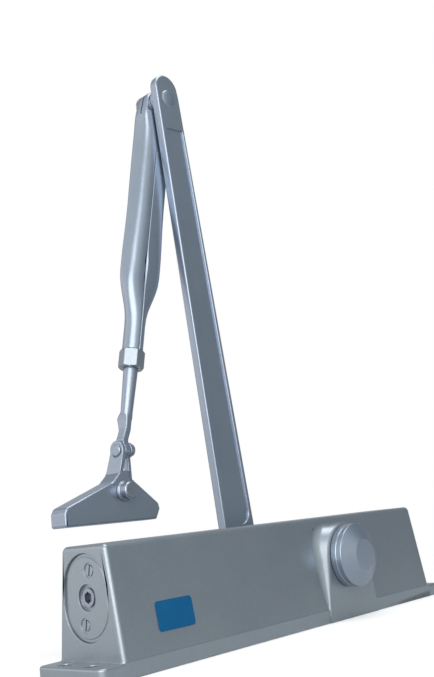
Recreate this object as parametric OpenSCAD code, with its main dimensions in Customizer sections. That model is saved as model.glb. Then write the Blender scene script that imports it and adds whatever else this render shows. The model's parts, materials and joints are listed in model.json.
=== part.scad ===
// Surface-mounted rack-and-pinion door closer with a regular two-piece arm.
// Origin: centre of the four mounting holes, on the mounting face. +Z points away from the door,
// X runs along the body, Y is the pinion axis and the arm is on the +Y side.

/* [Body] */
// Length of the housing between its end faces
body_l = 260; // [250:1:300]
// Width of the housing at its mounting face
body_w = 46; // [46:0.5:52]
// Width of the flat top of the housing
body_top_w = 31.4; // [30:0.1:36]
// Height of the housing above the door
body_h = 58.5; // [58:0.5:64]
// Height of the upright band along the foot of the housing
band_h = 6; // [6:0.5:12]
// Radius of the long top edges
top_edge_r = 3; // [1:0.5:4]
// Length of each mounting foot beyond the end face
foot_l = 13; // [12.5:0.5:16]
// Thickness of the mounting feet
foot_t = 7; // [5:0.5:9]
// Corner radius of the feet
foot_corner_r = 4; // [2:0.5:6]
// Radius of the mounting holes
mount_r = 3.3; // [2.8:0.1:4]
// Distance between the two holes of one foot
mount_pitch = 19; // [17:0.5:22]
// Distance of the holes from the end face
mount_inset = 6.5; // [6:0.5:8]

/* [Cylinder] */
// Radius of the cylinder bore
bore_r = 15.5; // [15:0.1:15.8]
// Height of the bore axis above the door
bore_z = 35; // [34:0.5:36]
// Radius of the rounded ends of the oval plug heads
plug_r = 15.8; // [15.6:0.1:16.4]
// Distance of the centres of these rounded ends from the bore axis
plug_long = 4; // [3:0.1:5]
// Thickness of the end plug heads
plug_t = 8; // [7:0.5:10]
// Depth of the plug face below the end face
plug_recess = 0.8; // [0.5:0.1:2]
// Length of the plug spigot inside the bore
spigot_l = 13; // [11:0.5:15]
// Radius of the needle valves
valve_r = 2.5; // [2:0.1:2.6]
// Height of the closing valve above the bore axis
valve_up = 12.3; // [10:0.1:12.5]
// Drop of the latching valve below the bore axis
valve_down = 12.6; // [11.5:0.1:12.8]
// Lean of the line through the two valves, degrees
valve_lean = 12; // [0:1:15]
// Radius of the power adjusting screw
adjuster_r = 4.2; // [3.6:0.1:4.8]

/* [Pinion and piston] */
// Distance of the pinion axis from the middle of the housing
pinion_x = 43.5; // [38:0.5:47]
// Number of pinion teeth
teeth = 12; // [12:1:12]
// Pitch radius of the pinion
pitch_r = 8; // [7.8:0.05:8.1]
// Radius of the pinion journals
journal_r = 8; // [7.8:0.1:8.4]
// Radius of the cross bore that takes the bearings
cross_r = 12.5; // [12:0.1:13]
// Length of the bearings
bearing_l = 4.8; // [4:0.1:6]
// Largest turn of the pinion, degrees
pinion_turn = 170; // [120:5:175]
// Length of each piston head
head_l = 14; // [12:0.5:16]
// Wire radius of the main spring
wire_r = 2.2; // [1.8:0.1:2.4]
// Coil radius of the main spring, to the wire centre
coil_r = 12.3; // [11.8:0.1:12.6]
// Number of turns of the main spring
coils = 13; // [10:1:16]

/* [Cap] */
// Radius of the pinion cap
cap_r = 18; // [17:0.1:18.5]
// Height of the cap's cylindrical part
cap_h = 7; // [5:0.1:8]
// Height of the cap's cone
cone_h = 4.4; // [4:0.1:6]
// Radius of the cap's flat end
cap_face_r = 8.9; // [7:0.1:11]
// Radius of the raised pad round the pinion
pad_r = 19; // [18.6:0.1:20]

/* [Main arm] */
// Length of the main arm between its axes
arm_len = 314; // [300:1:340]
// Lean of the main arm at rest, degrees
arm_lean = 5.15; // [0:0.05:10]
// Distance of the arm's inner face from the middle plane
arm_y = 57; // [54:0.5:60]
// Thickness of the main arm
arm_t = 6; // [5:0.5:8]
// Width of the main arm at the pinion
arm_w = 28.4; // [26:0.2:30]
// Width of the main arm at the elbow
arm_tip_w = 20.2; // [18:0.2:22]
// Width of the wide rib along the arm
rib_w = 4.4; // [3.5:0.1:5]
// Width of the narrow rib along the arm, at the elbow
rib_thin = 1.8; // [1.5:0.1:4]
// Depth of the recess between the ribs
rib_d = 2; // [1:0.1:2.5]
// Side of the square that drives the arm
square = 11; // [10:0.1:11.2]
// Radius of the hub
hub_r = 15; // [14:0.1:16]

/* [Forearm and rod] */
// Distance from the elbow to the clevis pin
fore_len = 244; // [240:1:260]
// Lean of the forearm at rest, degrees
fore_lean = 13.2; // [12:0.1:20]
// Offset of the clevis pin from the axis of the rod
eye_shift = 0; // [0:0.1:3]
// Width of the forearm
fore_w = 24.8; // [20:0.1:26]
// Depth of the forearm
fore_d = 11.8; // [11:0.1:12.4]
// Extra depth of the forearm behind the elbow
fore_swell = 2.2; // [0:0.1:2.4]
// Sheet thickness of the forearm
fore_wall = 2.2; // [1.8:0.1:2.4]
// Radius of the forearm's round neck
neck_r = 6.5; // [6.3:0.1:7.2]
// Length of the forearm from the elbow to its neck end
fore_end = 180.5; // [175:0.5:185]
// Radius of the elbow rivet
rivet_r = 5; // [4:0.1:5.5]
// Radius of the adjusting rod
rod_r = 4.5; // [3.8:0.1:4.6]
// Width across the flats of the lock nut
nut_af = 14; // [13:0.5:17]
// Thickness of the lock nut
nut_t = 11.5; // [9:0.5:14]
// Radius of the clevis pin
pin_r = 2.5; // [2:0.1:2.8]
// Thickness of the rod's eye
eye_t = 4.4; // [4:0.1:6]

/* [Shoe] */
// Sheet thickness of the bracket
shoe_wall = 2.4; // [2:0.1:2.8]
// Depth of the bracket
shoe_d = 13; // [12.5:0.1:14]
// Length of the base on the long side of the pin
shoe_long = 50.4; // [44:0.5:56]
// Length of the base on the short side of the pin
shoe_short = 19.4; // [18:0.1:26]
// Distance from the pin to the base
shoe_drop = 42.2; // [40:0.1:48]
// Radius of the holes in the base
shoe_hole_r = 2.6; // [2:0.1:3]
// Distance between the holes in the base
shoe_pitch = 46; // [40:0.5:48]

/* [Label] */
// Distance of the label's near end from the end face
label_in = 23.3; // [20:0.1:60]
// Length of the label
label_l = 23.2; // [18:0.1:30]
// Height of the label's lower edge above the door
label_z = 16.2; // [12:0.1:22]
// Height of the label
label_h = 13.6; // [10:0.1:18]

/* [Hidden] */

$fn = 48;
run = 0.06;                          // running clearance of shafts
fit = 0.05;                          // clearance of parts fixed in a bore
gap = 0.3;                           // clearance between moving faces

half_l = body_l / 2;
slope = (body_w - body_top_w) / 2 / (body_h - band_h);
slope_a = atan(slope);
mount_x = half_l + mount_inset;      // holes from the middle

seal_l = 2.6;                        // depth of the shaft seal
bearing_in = bore_r + 0.7;
pad_y = max(body_w / 2 + 0.6, bearing_in + bearing_l + seal_l);     // pad face
plug_in = half_l - plug_recess - plug_t;
spigot_in = plug_in - spigot_l;
seal_w = 2.6;
seal_x = plug_in - 6.6;
seal_r = bore_r - 2.1;

bearing_out = pad_y - seal_l;
neck_t = 0.5;                        // thin neck under the cap
cap_y = pad_y + neck_t + cap_h;
gland_t = 5;
gland_r = 17;
shoulder_y = pad_y + gland_t + 2.4;  // seat of the arm hub on the shaft

tooth_p = 2 * PI * pitch_r / teeth;
module_m = 2 * pitch_r / teeth;
press_a = 25;
addendum = 0.8 * module_m;
dedendum = module_m;
backlash = 0.3;
base_r = pitch_r * cos(press_a);
gear_w = 2 * (bore_r - 1.4);           // the rack ends inside the gear
travel = pitch_r * pinion_turn * PI / 180;
window_a = pinion_x - pitch_r - 3;
window_b = pinion_x + pitch_r + 3 + travel;
piston_a = window_a - head_l;
piston_b = window_b + head_l;
piston_r = bore_r - fit;
seat_t = 3;
seat_pilot = 6;                      // length of the nose that centres the spring
seat_x = -spigot_in + 2;             // plug side of the spring seat

arm_back = arm_y + arm_t;
elbow_x = pinion_x - arm_len * sin(arm_lean);
elbow_z = bore_z + arm_len * cos(arm_lean);
eye_step = 1.1;                      // the forearm's eye is thinner than the forearm
spacer_t = 1.1;
fore_y0 = arm_back + spacer_t;
fore_y = fore_y0 + fore_d / 2;       // middle plane of forearm and rod
fore_y1 = fore_y0 + fore_d + fore_swell;
fore_eye_r = fore_w / 2 - 1;
eye_drop = 3;                        // centre of the rounded end below the elbow
washer_r = rivet_r + 4.6;
head_washer_t = 1;
swell_a = 80;                        // where the tube starts to widen
close_l = 60;                        // length over which the flat tube closes
neck_a = fore_end - close_l;
neck_b = fore_end - 24;
nut_a = fore_end + gap;
nut_b = nut_a + nut_t;
rod_in = 60;                         // rod inside the forearm
rod_top = fore_end - rod_in;
taper_a = nut_b + 2;
taper_b = fore_len - 24;
rod_end_r = rod_r - 0.8;
eye_r = 4.9;
tongue_d = 6.8;                      // depth of the flattened tongue
ear_t = 2.4;
ear_in = eye_t / 2 + gap;
ear_out = ear_in + ear_t;
pin_x = elbow_x - fore_len * sin(fore_lean) + eye_shift * cos(fore_lean);
pin_z = elbow_z - fore_len * cos(fore_lean) - eye_shift * sin(fore_lean);
shoe_y0 = fore_y - shoe_d / 2;
shoe_y1 = fore_y + shoe_d / 2;
shoe_bolt_x = -7.2;
shoe_bolt_z = -24.4;
shoe_bolt_r = 2.5;

silver = [0.62, 0.66, 0.70];
steel = [0.72, 0.73, 0.75];
dark = [0.25, 0.26, 0.28];

// ---------- helpers ----------
function unit(v) = v / norm(v);
function before(p, i) = p[(i + len(p) - 1) % len(p)];
function after(p, i) = p[(i + 1) % len(p)];
// corner i of polygon p rounded to radius r with n steps
function corner(p, i, r, n) =
    let (b = p[i], u = unit(before(p, i) - b), v = unit(after(p, i) - b))
    let (h = acos(u * v) / 2, s = b + u * r / tan(h), e = b + v * r / tan(h))
    let (o = b + unit(u + v) * r / sin(h))
    r == 0 ? [b] : [for (k = [0:n]) o + r * unit((s - o) * (1 - k / n) + (e - o) * k / n)];
function rounded(p, r, n = 6) = [for (i = [0:len(p) - 1]) each corner(p, i, r[i], n)];
// polygon p, anticlockwise, moved inwards by d
function inset(p, d) = [for (i = [0:len(p) - 1])
    let (b = p[i], u = unit(before(p, i) - b), v = unit(after(p, i) - b))
    let (turn = u[1] * v[0] - u[0] * v[1] > 0 ? 1 : -1, h = acos(u * v) / 2)
    b + turn * unit(u + v) * d / sin(h)];
function mix(a, b, t) = a + (b - a) * t;
function ease(a, b, s) = let (t = max(0, min(1, (s - a) / (b - a)))) t * t * (3 - 2 * t);

module zcyl(z0, z1, r) translate([0, 0, z0]) cylinder(h = z1 - z0, r = r);
module ycyl(y0, y1, r) translate([0, y0, 0]) rotate([-90, 0, 0]) cylinder(h = y1 - y0, r = r);
module xcyl(x0, x1, r) translate([x0, 0, 0]) rotate([0, 90, 0]) cylinder(h = x1 - x0, r = r);
// a 2D outline in X and Z, extruded from y0 to y1
module slab_y(y0, y1) translate([0, y1, 0]) rotate([90, 0, 0]) linear_extrude(y1 - y0) children();
// a 2D outline in Y and Z, extruded from x0 to x1
module slab_x(x0, x1) translate([x0, 0, 0]) rotate([90, 0, 90]) linear_extrude(x1 - x0) children();
// a revolved outline of [radius, y] or [radius, x]
module turn_y(p) rotate([-90, 0, 0]) rotate_extrude() polygon(p);
module turn_x(p) rotate([0, 90, 0]) rotate_extrude() polygon(p);
module at_bore() translate([0, 0, bore_z]) children();
module at_pinion() translate([pinion_x, 0, bore_z]) children();
module at_arm() at_pinion() rotate([0, -arm_lean, 0]) children();
module at_elbow() translate([elbow_x, 0, elbow_z]) children();
module at_fore() translate([elbow_x, fore_y, elbow_z]) rotate([0, fore_lean, 0]) children();
module at_pin() translate([pin_x, fore_y, pin_z]) children();
module both_ends() { children(); mirror([1, 0, 0]) children(); }

// ---------- housing ----------
module housing_section()
    polygon(rounded([[-body_w / 2, 0], [body_w / 2, 0], [body_w / 2, band_h],
        [body_top_w / 2, body_h], [-body_top_w / 2, body_h], [-body_w / 2, band_h]],
        [0, 0, 40, top_edge_r, top_edge_r, 40]));

module feet_outline() {
    x = half_l + foot_l;
    y = body_w / 2;
    polygon(rounded([[-x, -y], [x, -y], [x, y], [-x, y]], [for (i = [0:3]) foot_corner_r]));
}

// pad round the pinion: upright face, sides that spread towards the sloping flank
module pinion_pad()
    hull() {
        slab_y(-pad_y, -pad_y + 0.1) pad_outline(0);
        slab_y(-pad_y + 8, -pad_y + 8.1) pad_outline(9);
    }

module pad_outline(spread) {
    translate([pinion_x - spread, bore_z]) circle(pad_r);
    translate([pinion_x + spread, bore_z]) circle(pad_r);
    translate([pinion_x - pad_r - 5, 0]) square([2 * pad_r + 10, 1]);
}

module body_casting()
    color(silver) difference() {
        union() {
            slab_x(-half_l, half_l) housing_section();
            linear_extrude(foot_t) feet_outline();
            pinion_pad();
            mirror([0, 1, 0]) pinion_pad();
        }
        at_bore() xcyl(-half_l - 1, half_l + 1, bore_r);
        both_ends() at_bore() slab_x(plug_in, half_l + 1) oval(plug_r + 0.1);
        at_pinion() ycyl(-pad_y - 1, pad_y + 1, cross_r);
        for (x = [-mount_x, mount_x], y = [-mount_pitch / 2, mount_pitch / 2])
            translate([x, y, 0]) zcyl(-1, foot_t + 1, mount_r);
    }

// ---------- end plugs ----------
module oval(r)
    hull() for (s = [-1, 1]) translate([0, s * plug_long]) circle(r);

// oval head with a stepped rim, and a round spigot
module plug_body() {
    slab_x(plug_in, half_l - plug_recess - 0.4) oval(plug_r);
    slab_x(plug_in, half_l - plug_recess) oval(plug_r - 1.6);
    xcyl(spigot_in, plug_in + 0.01, bore_r - fit);
}

module seal_groove()
    translate([seal_x, 0, 0]) difference() {
        xcyl(0, seal_w, bore_r + 1);
        xcyl(-1, seal_w + 1, seal_r);
    }

// hole for a needle valve, with a shallow ring round its mouth
module valve_hole(z)
    rotate([valve_lean, 0, 0]) translate([0, 0, z]) {
        xcyl(plug_in + 1, half_l, valve_r + run);
        xcyl(half_l - plug_recess - 0.7, half_l, valve_r + 0.9);
    }

module valve_plug()
    color(silver) mirror([1, 0, 0]) at_bore() difference() {
        plug_body();
        seal_groove();
        xcyl(half_l - plug_recess - 1.6, half_l, adjuster_r + 1.9);
        xcyl(spigot_in - 1, half_l, adjuster_r + run);
        valve_hole(valve_up);
        valve_hole(-valve_down);
    }

module plain_plug()
    color(silver) at_bore() difference() {
        plug_body();
        seal_groove();
        translate([plug_in + 2, 0, 0]) rotate([0, 90, 0]) cylinder(h = plug_t, r = 7, $fn = 6);
    }

module plug_seals()
    color(dark) both_ends() at_bore() translate([seal_x, 0, 0]) difference() {
        xcyl(0, seal_w, bore_r - fit);
        xcyl(-1, seal_w + 1, seal_r + fit);
    }

module needle_valve(z)
    at_bore() rotate([valve_lean, 0, 0]) translate([0, 0, z]) difference() {
        turn_x([[0, -half_l + plug_recess + 0.4], [valve_r, -half_l + plug_recess + 0.4],
            [valve_r, -plug_in - 3.2], [0.8, -plug_in - 1.4], [0, -plug_in - 1.4]]);
        translate([-half_l, -0.4, -valve_r - 1]) cube([plug_recess + 1.6, 0.8, 2 * valve_r + 2]);
    }

module closing_valve() color(steel) needle_valve(valve_up);
module latching_valve() color(steel) needle_valve(-valve_down);

module power_adjuster()
    color(steel) at_bore() difference() {
        xcyl(-half_l + plug_recess + 0.6, seat_x - gap, adjuster_r);
        translate([-half_l, 0, 0]) rotate([0, 90, 0])
            cylinder(h = plug_recess + 4.5, r = adjuster_r * 0.66, $fn = 6);
    }

// ---------- spring and piston ----------
module spring_seat()
    color(steel) at_bore() turn_x([[0, seat_x], [bore_r - 0.5, seat_x],
        [bore_r - 0.5, seat_x + seat_t], [coil_r - wire_r - 1, seat_x + seat_t],
        [coil_r - wire_r - 2.5, seat_x + seat_t + seat_pilot], [0, seat_x + seat_t + seat_pilot]]);

// helix of round wire: a ring of 8 points at each step, closed by a fan at both ends
module main_spring() {
    x0 = seat_x + seat_t + wire_r + 0.1;
    x1 = piston_a - wire_r - 0.1;
    n = coils * 18;
    pts = [for (i = [0:n], k = [0:7]) let (a = i * 20, w = k * 45, r = coil_r + wire_r * cos(w))
        [mix(x0, x1, i / n) + wire_r * sin(w), r * cos(a), r * sin(a)]];
    side = [for (i = [0:n - 1], k = [0:7]) let (j = (k + 1) % 8)
        [i * 8 + k, i * 8 + j, i * 8 + 8 + j, i * 8 + 8 + k]];
    ends = [[for (k = [0:7]) 7 - k], [for (k = [0:7]) n * 8 + k]];
    color(dark) at_bore() polyhedron(pts, concat(side, ends));
}

// one rack tooth, pointing up, centred on x = 0
module rack_tooth() {
    t = tooth_p / 4 - backlash / 4;
    k = tan(press_a);
    polygon([[-t - dedendum * k, -dedendum - 0.01], [t + dedendum * k, -dedendum - 0.01],
        [t - addendum * k, addendum], [-t + addendum * k, addendum]]);
}

module piston()
    color(steel) at_bore() difference() {
        union() {
            difference() {
                xcyl(piston_a, piston_b, piston_r);
                translate([window_a, -bore_r, -pitch_r - dedendum])
                    cube([window_b - window_a, 2 * bore_r, 2 * pitch_r + 3]);
            }
            intersection() {
                slab_y(-bore_r, bore_r) translate([pinion_x, -pitch_r])
                    for (k = [-3:floor((window_b - pinion_x) / tooth_p) - 1])
                        translate([(k + 0.5) * tooth_p, 0]) rack_tooth();
                xcyl(window_a, window_b, piston_r - 0.02);
            }
        }
        xcyl(piston_b - 6.5, piston_b + 1, 4.5);
        xcyl(window_b - 1, piston_b, 2);
        for (x = [piston_a + 4, piston_b - 6]) translate([x, 0, 0]) difference() {
            xcyl(0, 2, bore_r + 1);
            xcyl(-1, 3, piston_r - 1.2);
        }
    }

module check_valve()
    color(dark) at_bore() difference() {
        xcyl(piston_b - 6.5, piston_b - 0.5, 4.5 - fit);
        xcyl(piston_b - 4, piston_b, 1.5);
    }

// ---------- pinion ----------
module bearings()
    color(steel) at_pinion() for (s = [0, 1]) mirror([0, s, 0])
        difference() {
            ycyl(bearing_in, bearing_out, cross_r - fit);
            ycyl(bearing_in - 1, bearing_out + 1, journal_r + run);
        }

module pinion_cap()
    color(silver) at_pinion() mirror([0, 1, 0]) turn_y([[0, pad_y + 1.6],
        [journal_r + 0.5, pad_y + 1.6], [journal_r + 0.5, bearing_out], [cross_r - fit, bearing_out],
        [cross_r - fit, pad_y], [cap_r - 1, pad_y], [cap_r - 1, pad_y + neck_t],
        [cap_r, pad_y + neck_t], [cap_r, pad_y + 3.6], [cap_r - 0.5, pad_y + 4],
        [cap_r, pad_y + 4.4], [cap_r, cap_y - 0.4], [cap_r - 0.4, cap_y],
        [cap_face_r, cap_y + cone_h], [0, cap_y + cone_h]]);

module gland_nut()
    color(steel) at_pinion() turn_y([[journal_r + run, pad_y + 1.4], [cross_r - 2, pad_y + 1.4],
        [cross_r - 2, bearing_out], [cross_r - fit, bearing_out], [cross_r - fit, pad_y],
        [gland_r, pad_y], [gland_r, pad_y + gland_t - 1], [gland_r - 1, pad_y + gland_t],
        [journal_r + run, pad_y + gland_t]]);

module shaft_seal()
    color(dark) at_pinion() difference() {
        ycyl(bearing_out, pad_y + 1.4, cross_r - 2 - fit);
        ycyl(bearing_out - 1, pad_y + 2, journal_r + run);
    }

// involute tooth flank: half angle of a tooth at radius r
function inv(a) = tan(a) * 180 / PI - a;
function half_tooth(r) = (tooth_p / 2 - backlash / 2) / 2 / pitch_r * 180 / PI
    + inv(press_a) - inv(acos(min(1, base_r / r)));
function polar(r, a) = [r * sin(a), -r * cos(a)];

module pinion_outline() {
    ro = pitch_r + addendum;
    rr = pitch_r - dedendum;
    flank = [for (i = [0:5]) mix(base_r, ro, i / 5)];
    polygon([for (t = [0:teeth - 1]) let (c = t * 360 / teeth)
        each concat([polar(rr, c - half_tooth(base_r))],
            [for (r = flank) polar(r, c - half_tooth(r))],
            [for (i = [5:-1:0]) polar(flank[i], c + half_tooth(flank[i]))],
            [polar(rr, c + half_tooth(base_r))])]);
}

module pinion_shaft()
    color(steel) at_pinion() difference() {
        union() {
            slab_y(-gear_w / 2, gear_w / 2) pinion_outline();
            ycyl(-bearing_out - 1.4, -gear_w / 2, journal_r);
            ycyl(gear_w / 2, shoulder_y, journal_r);
            rotate([0, -arm_lean, 0]) translate([-square / 2, shoulder_y - 0.01, -square / 2])
                cube([square, arm_back - 0.5 - shoulder_y, square]);
        }
        ycyl(arm_back - 18, arm_back, 3.4 + fit);
    }

// ---------- main arm ----------
module arm_outline(inset_w)
    polygon(concat([[arm_w / 2 - inset_w, 0], [arm_tip_w / 2 - inset_w, arm_len + 6.6]],
        [for (a = [10:10:170]) [0, arm_len + 6.6] + (arm_tip_w / 2 - inset_w) * [cos(a), sin(a)]],
        [[-arm_tip_w / 2 + inset_w, arm_len + 6.6], [-arm_w / 2 + inset_w, 0]]));

module arm_recess() {
    a = hub_r + 9;
    b = arm_len - 21.5;
    wa = mix(arm_w, arm_tip_w, a / arm_len) / 2;
    wb = mix(arm_w, arm_tip_w, b / arm_len) / 2;
    polygon(rounded([[-wa + rib_w, a], [wa - rib_thin - 1.2, a], [wb - rib_thin, b],
        [-wb + rib_w, b]], [8, 8, 1, 1]));
}

module main_arm()
    color(silver) at_arm() difference() {
        union() {
            slab_y(arm_y, arm_back) arm_outline(0);
            ycyl(arm_y - 0.01, arm_back, hub_r);
            turn_y([[0, shoulder_y], [hub_r - 1, shoulder_y], [hub_r - 1, arm_y - 6],
                [hub_r, arm_y - 3], [hub_r, arm_y + 0.01], [0, arm_y + 0.01]]);
        }
        translate([-square / 2, shoulder_y - 1, -square / 2]) cube([square, 60, square]);
        slab_y(arm_y - 0.01, arm_y + rib_d) arm_recess();
        translate([0, 0, arm_len]) ycyl(arm_y - 1, arm_back + 1, rivet_r + fit);
    }

module arm_washer()
    color(steel) at_pinion() difference() {
        ycyl(arm_back, arm_back + 1.6, 11);
        ycyl(arm_back - 1, arm_back + 3, 3.4 + 0.1);
    }

module arm_screw()
    color(steel) at_pinion() {
        ycyl(arm_back - 16, arm_back + 1.7, 3.4);
        translate([0, arm_back + 1.6, 0]) rotate([-90, 0, 0])
            intersection() {
                cylinder(h = 5, r = 7.5, $fn = 6);
                cylinder(h = 5, r1 = 10.5, r2 = 6.6);
            }
    }

// ---------- elbow ----------
module elbow_rivet()
    color(steel) at_elbow() turn_y([[0, arm_y - 1.6], [rivet_r + 1.4, arm_y - 1.6],
        [rivet_r + 2.2, arm_y - 0.9], [rivet_r + 2.2, arm_y], [rivet_r, arm_y],
        [rivet_r, fore_y1 + 0.2 + head_washer_t], [rivet_r + 2.6, fore_y1 + 0.2 + head_washer_t],
        [rivet_r + 2.6, fore_y1 + 2], [rivet_r + 1.2, fore_y1 + 3.2], [0, fore_y1 + 3.2]]);

module elbow_washers()
    color(steel) at_elbow() for (y = [[arm_back, fore_y0 + eye_step - 0.2],
            [fore_y1 + 0.2, fore_y1 + 0.2 + head_washer_t]])
        difference() {
            ycyl(y[0], y[1], washer_r);
            ycyl(y[0] - 1, y[1] + 1, rivet_r + fit);
        }

// ---------- forearm: a rolled tube, flat above and closed to a round neck below ----------
function fore_a(s) = mix(mix(fore_w / 2, fore_w / 2 + 1.3, ease(swell_a, neck_a, s)), neck_r,
    ease(neck_a + 8, neck_b + 7, s)) - 1 + ease(eye_drop, eye_drop + 12, s);
function fore_b(s) = mix(fore_d / 2, neck_r, ease(neck_a + 4, neck_b, s));
function fore_back(s) = fore_swell * (1 - ease(30, 130, s));
function fore_e(s) = mix(5, 2, ease(neck_a, neck_b, s));
function bulge(c, e) = sign(c) * pow(abs(c), 2 / e);
function fore_ring(s, d) = [for (k = [0:31])
    let (a = k * 11.25, b = fore_b(s) + (k < 16 ? fore_back(s) : 0))
    [(fore_a(s) - d) * bulge(cos(a), fore_e(s)), (b - d) * bulge(sin(a), fore_e(s)), -s]];

// loft through rings of 32 points, from the first station to the last
module fore_loft(stations, d) {
    n = len(stations);
    pts = [for (s = stations) each fore_ring(s, d)];
    side = [for (i = [0:n - 2], k = [0:31]) let (j = (k + 1) % 32)
        [i * 32 + k, i * 32 + j, i * 32 + 32 + j, i * 32 + 32 + k]];
    polyhedron(pts, concat([[for (k = [0:31]) 31 - k]], side,
        [[for (k = [0:31]) (n - 1) * 32 + k]]));
}

module forearm()
    color(silver) at_fore() difference() {
        union() {
            fore_loft([eye_drop, 7, 11, 15, 40, 60, swell_a, 100,
                for (i = [0:8]) mix(neck_a, neck_b + 8, i / 8), fore_end], 0);
            translate([0, 0, -eye_drop]) {
                ycyl(-fore_d / 2 + eye_step, 0.1, fore_eye_r - 1.2);
                ycyl(0, fore_d / 2 + fore_swell, fore_eye_r);
            }
        }
        fore_loft([16, 40, 60, swell_a, 100, for (i = [0:5]) mix(neck_a, neck_b - 6, i / 5)], fore_wall);
        translate([-20, -fore_d / 2 - 1, -washer_r - 1]) cube([40, eye_step + 1, washer_r + 1]);
        ycyl(-fore_d, 2 * fore_d, rivet_r + run);
        zcyl(-fore_end - 1, -rod_top + 30, rod_r + run);
        translate([-20, -0.5, -17]) cube([40, 1, 40]);
        translate([-0.45, -fore_d, -fore_end - 1]) cube([0.9, fore_d - 1, fore_end - 38]);
    }

// ---------- lock nut and rod ----------
module lock_nut()
    color(steel) at_fore() difference() {
        intersection() {
            translate([0, 0, -nut_b]) rotate(15) cylinder(h = nut_t, r = nut_af / 2 / cos(30), $fn = 6);
            union() {
                zcyl(-nut_b + 1.4, -nut_a - 1.4, nut_af);
                translate([0, 0, -nut_b]) cylinder(h = 1.41, r1 = nut_af / 2, r2 = nut_af / 2 + 2.4);
                translate([0, 0, -nut_a - 1.41]) cylinder(h = 1.41, r1 = nut_af / 2 + 2.4, r2 = nut_af / 2);
            }
        }
        zcyl(-nut_b - 1, -nut_a + 1, rod_r + run);
    }

// length z0 to z1 of the flat tongue, less d all round and deeper by e behind
module bar(z0, z1, d, e)
    translate([d - eye_t / 2, d - tongue_d / 2, z0])
        cube([eye_t - 2 * d, tongue_d + e - 2 * d, z1 - z0]);

// rod with a turned-down end; its flattened eye hangs square to the bracket
module adjusting_rod()
    color(silver) difference() {
        union() {
            at_fore() {
                zcyl(-taper_a, -rod_top, rod_r);
                translate([0, 0, -taper_b]) cylinder(h = taper_b - taper_a + 0.01, r1 = rod_end_r, r2 = rod_r);
                zcyl(-fore_len + 22, -taper_b + 0.01, rod_end_r);
            }
            hull() {
                at_fore() zcyl(-fore_len + 22.6, -fore_len + 24, rod_end_r - 0.2);
                at_fore() bar(-fore_len + 18.5, -fore_len + 20.5, 0, 2.6);
            }
            hull() {
                at_fore() bar(-fore_len + 18.6, -fore_len + 20.4, 0.05, 2.5);
                at_fore() bar(-fore_len + 12, -fore_len + 14, 0.05, 0.1);
            }
            hull() {
                at_fore() bar(-fore_len + 12.2, -fore_len + 13.8, 0.1, 0);
                at_pin() bar(5.6, 6.4, 0.05, 0);
            }
            at_pin() slab_x(-eye_t / 2, eye_t / 2) {
                circle(eye_r);
                translate([-tongue_d / 2, 0]) square([tongue_d, 7]);
            }
        }
        at_pin() xcyl(-20, 20, pin_r + fit);
    }

// ---------- shoe ----------
shoe_top = -12.5;                    // top of the web
pin_head_r = pin_r + 1.2;
shoe_pts = [[-shoe_long, -shoe_drop], [shoe_short - 3, -shoe_drop], [shoe_short + 0.4, -shoe_drop + 6],
    [shoe_short - 0.6, -shoe_drop + 9.6], [-1, -16.8], [-2.2, shoe_top], [-8.2, shoe_top], [-15, -18.8],
    [-shoe_long + 1.8, -shoe_drop + 10.8], [-shoe_long, -shoe_drop + 7.7]];

// ear plate standing at the pin, its outline seen along the pin
module ear_outline(r, front, back, low)
    difference() {
        union() {
            circle(r);
            translate([-front, low]) square([front + back, -low]);
        }
        circle(pin_r + run);
    }

// the long ear leans outwards into the flange
module long_ear()
    intersection() {
        slab_y(-shoe_d / 2, shoe_d / 2) polygon([[-ear_out, 8], [-ear_out, -1], [-9.6, shoe_top - 1.2],
            [-9.6 + ear_t + 0.4, shoe_top - 1.2], [-ear_in, -3.5], [-ear_in, 8]]);
        slab_x(-20, 0) difference() {
            hull() {
                translate([0.5, 0]) circle(5.9);
                translate([-shoe_d / 2, shoe_top - 2]) square([shoe_d, 1]);
            }
            circle(pin_r + run);
        }
    }

module shoe_bracket()
    color(silver) at_pin() difference() {
        union() {
            difference() {
                slab_y(-shoe_d / 2, shoe_d / 2)
                    polygon(rounded(shoe_pts, [1.5, 1.5, 2, 3, 6, 0.5, 0.5, 6, 3, 2]));
                slab_y(-shoe_d / 2 + shoe_wall, shoe_d) polygon(inset(shoe_pts, shoe_wall));
            }
            long_ear();
            slab_x(ear_in, ear_out) ear_outline(4.6, 0.6, 3.8, -22);
        }
        translate([-ear_in, -shoe_d, shoe_top]) cube([2 * ear_in, 2 * shoe_d, 20]);
        translate([-ear_in, -shoe_d / 2 + shoe_wall, shoe_top - 3.6]) cube([2 * ear_in, shoe_d, 20]);
        for (x = [-shoe_pitch / 2, shoe_pitch / 2])
            translate([(shoe_short - shoe_long) / 2 + x, 0, -shoe_drop]) zcyl(-1, shoe_wall + 1, shoe_hole_r);
        translate([shoe_bolt_x, 0, shoe_bolt_z]) ycyl(-shoe_d, 0, shoe_bolt_r + fit);
        xcyl(-20, -ear_out, pin_head_r + gap);       // seat of the pin's head
    }

module clevis_pin()
    color(steel) at_pin() turn_x([[0, -ear_out - 1.2], [pin_r + 0.4, -ear_out - 1.2],
        [pin_head_r, -ear_out - 0.6], [pin_head_r, -ear_out - 0.1], [pin_r, -ear_out - 0.1],
        [pin_r, ear_out + 0.1], [pin_head_r, ear_out + 0.1], [pin_head_r, ear_out + 1.6],
        [pin_r + 0.4, ear_out + 2.2], [0, ear_out + 2.2]]);

module shoe_bolt()
    color(steel) at_pin() translate([shoe_bolt_x, -shoe_d / 2, shoe_bolt_z])
        turn_y([[0, -7], [4.3, -7], [5.1, -6.2], [5.1, -1.8], [6.1, -1.4], [6.1, 0], [shoe_bolt_r, 0],
            [shoe_bolt_r, shoe_wall + 5], [0, shoe_wall + 5]]);

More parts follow.
